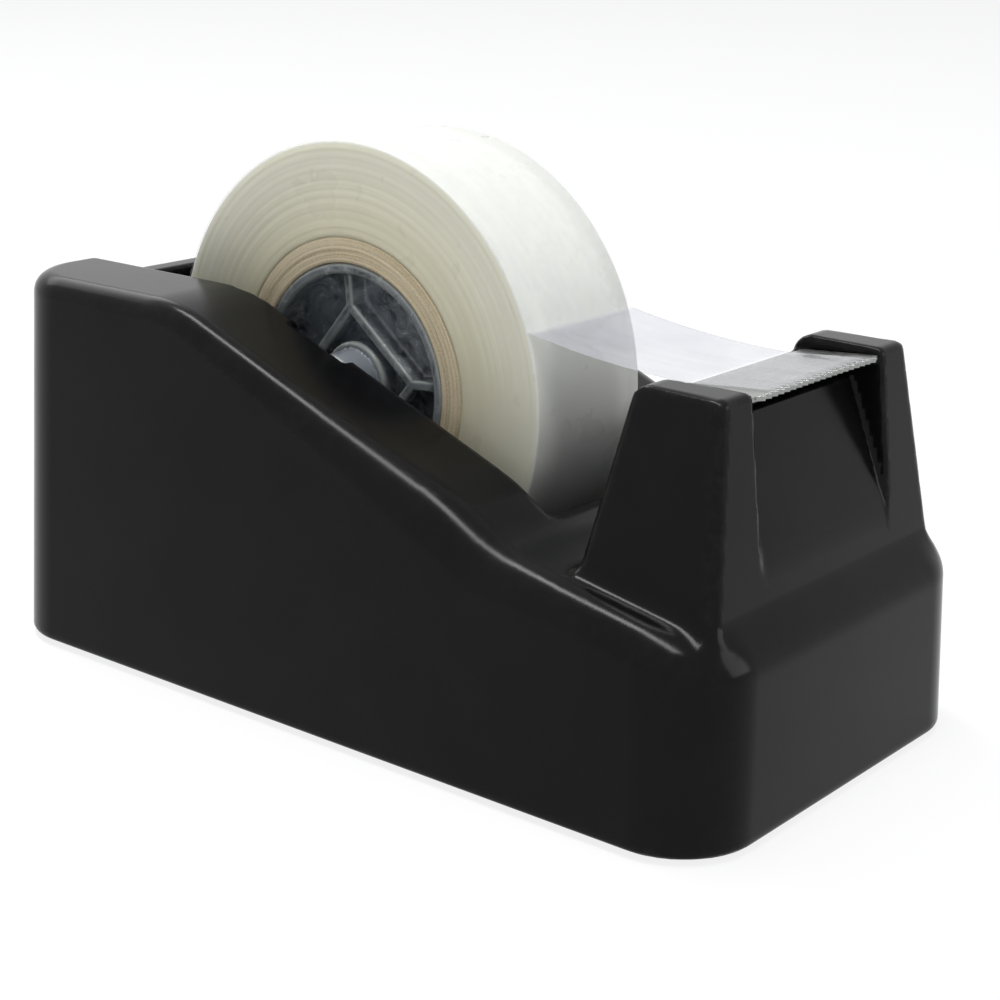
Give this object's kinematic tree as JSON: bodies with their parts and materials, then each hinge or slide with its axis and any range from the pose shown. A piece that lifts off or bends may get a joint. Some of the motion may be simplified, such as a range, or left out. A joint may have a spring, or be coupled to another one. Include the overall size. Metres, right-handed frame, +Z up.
{
  "type": "tape dispenser",
  "caption": "Weighted desktop tape dispenser: black base with an open well, a lift-out hub that spins with a roll of clear tape, and a toothed steel cutter on a tower.",
  "frame": {"origin": "on the table, under the middle of the base's footprint", "axes": "+Z up; -Y towards the cutter and the user; X across the base, along the spindle"},
  "size_m": [0.0532, 0.1006, 0.0609],
  "materials": {
    "black_abs": "glossy moulded black plastic with a fine satin haze",
    "dark_plastic": "matt dark grey moulded plastic",
    "ballast_mix": "set sand and cement",
    "foam": "fine closed-cell foam, matt",
    "steel": "brushed stainless steel",
    "zinc_screw": "zinc plated steel",
    "spindle_steel": "turned steel",
    "smoke_hub": "smoky grey translucent plastic",
    "kraft_core": "wound kraft board with a paper face",
    "tape_wound": "cream translucent wound tape film",
    "tape_film": "clear glossy tape film"
  },
  "bodies": {
    "base": {"housing": "black_abs", "base_plate": "dark_plastic", "base_screws": "zinc_screw", "fill_plug": "dark_plastic", "ballast": "ballast_mix", "foot_pad": "foam", "cutter_plate": "steel"},
    "spindle": {"spindle": "spindle_steel", "tape_tail": "tape_film"},
    "roll": {"hub_left": "smoke_hub", "hub_right": "smoke_hub", "tape_core": "kraft_core", "tape_roll": "tape_wound"}
  },
  "joints": [
    {"name": "spindle_lift", "type": "slide", "parent": "base", "child": "spindle", "axis": [0, 0, 1], "range_m": [0, 0.045]},
    {"name": "roll_spin", "type": "hinge", "parent": "spindle", "child": "roll", "pos_m": [0, 0.0098, 0.0343], "axis": [1, 0, 0], "continuous": true}
  ]
}
